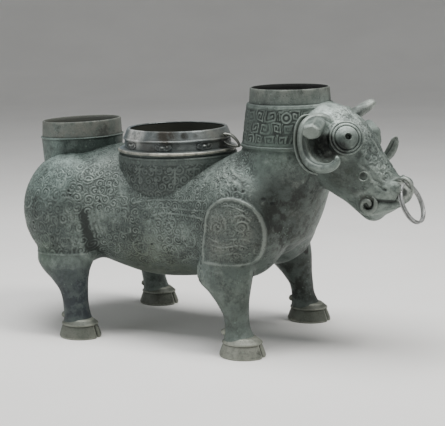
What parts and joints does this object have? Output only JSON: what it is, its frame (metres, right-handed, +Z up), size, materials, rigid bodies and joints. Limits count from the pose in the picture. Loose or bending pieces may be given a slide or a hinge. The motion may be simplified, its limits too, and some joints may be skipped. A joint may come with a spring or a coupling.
{
  "type": "ox-shaped ritual wine vessel",
  "caption": "Hollow bronze ox that holds liquid, open at the neck and the rump, with a lift-out pot in its back and a loose ring through its nose.",
  "frame": {"origin": "on the ground under the centre of the bounding box", "axes": "+X towards the ox's head, +Y to the ox's left, +Z up"},
  "size_m": [0.5887, 0.2568, 0.337],
  "materials": {
    "ox_bronze": "grey-green patina",
    "pot_bronze": "grey-green patina",
    "ring_bronze": "worn silvery grey"
  },
  "bodies": {
    "root": {"ox_vessel": "ox_bronze", "wine_pot": "pot_bronze", "nose_ring": "ring_bronze"}
  },
  "joints": []
}
